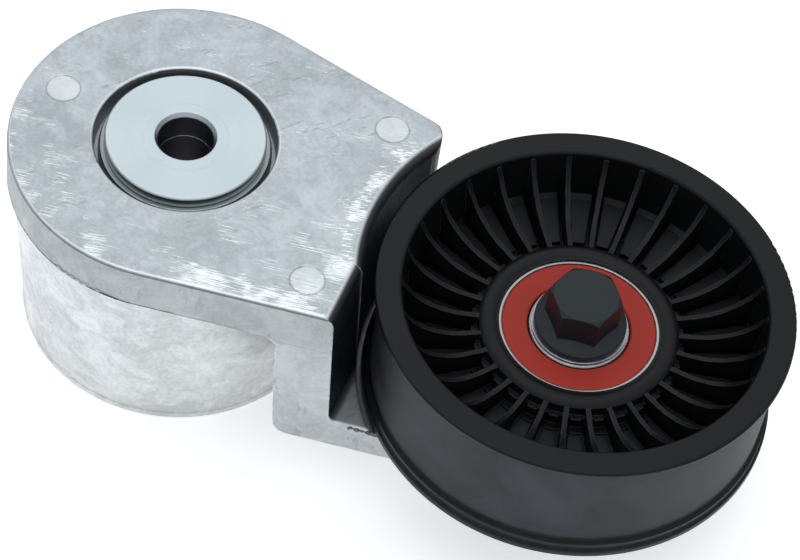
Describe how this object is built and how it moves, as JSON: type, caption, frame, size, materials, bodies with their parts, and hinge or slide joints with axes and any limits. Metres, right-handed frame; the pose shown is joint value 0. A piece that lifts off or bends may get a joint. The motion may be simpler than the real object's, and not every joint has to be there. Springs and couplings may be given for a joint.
{
  "type": "belt tensioner",
  "caption": "Sprung belt tensioner: round spring case with a cast arm that swings on a central tube and carries a smooth flanged idler pulley on a sealed ball bearing.",
  "frame": {"origin": "centre of the mounting bore on the rear mounting face of the spring case", "axes": "+Z along the mounting bore to the front, where the cap disc is; +X from the arm pivot to the pulley axis"},
  "size_m": [0.1894, 0.0972, 0.0608],
  "materials": {
    "case_aluminium": "as-cast, satin, mottled",
    "arm_aluminium": "as-cast, satin, mottled",
    "plated_steel": "turned and zinc plated",
    "tube_steel": "drawn steel, dull",
    "bearing_steel": "ground bearing steel",
    "cage_steel": "pressed sheet steel",
    "spring_steel": "shot peened, dark coat",
    "black_steel": "black oxide",
    "shield_steel": "pressed and plated",
    "pulley_nylon": "glass-filled nylon, satin",
    "seal_rubber": "moulded, brick red",
    "bushing_polymer": "sintered bearing liner",
    "washer_polymer": "dark wear polymer",
    "damper_nylon": "natural nylon"
  },
  "bodies": {
    "base": {"spring_case": "case_aluminium", "pivot_tube": "tube_steel", "front_cap_disc": "plated_steel", "thrust_washer": "washer_polymer", "backing_washer": "shield_steel", "rear_thrust_washer": "washer_polymer", "spring_seat": "damper_nylon", "torsion_spring": "spring_steel"},
    "swing_arm": {"arm": "arm_aluminium", "pivot_bushing_front": "bushing_polymer", "pivot_bushing_rear": "bushing_polymer", "damping_ring": "damper_nylon", "damping_spring": "shield_steel", "rear_dust_shield": "shield_steel", "bearing_inner_ring": "bearing_steel", "front_spacer": "tube_steel", "pulley_bolt": "black_steel"},
    "idler": {"pulley": "pulley_nylon", "bearing_outer_ring": "bearing_steel", "bearing_seal_front": "seal_rubber", "bearing_seal_rear": "seal_rubber"},
    "rolling_set": {"bearing_balls": "bearing_steel", "bearing_cage_front": "cage_steel", "bearing_cage_rear": "cage_steel", "cage_rivets": "cage_steel"}
  },
  "joints": [
    {"name": "arm_pivot", "type": "hinge", "parent": "base", "child": "swing_arm", "pos_m": [0, 0, 0], "axis": [0, 0, 1], "range_deg": [0, 55], "stiffness_Nm_per_rad": 18, "springref_deg": -68.75, "deforming": ["torsion_spring"]},
    {"name": "pulley_spin", "type": "hinge", "parent": "swing_arm", "child": "idler", "pos_m": [0.0996, 0, 0], "axis": [0, 0, 1], "continuous": true},
    {"name": "rolling_set_spin", "type": "hinge", "parent": "swing_arm", "child": "rolling_set", "pos_m": [0.0996, 0, 0], "axis": [0, 0, 1], "continuous": true}
  ],
  "couplings": [
    {"joint": "rolling_set_spin", "follows": "pulley_spin", "ratio": 0.6184}
  ]
}
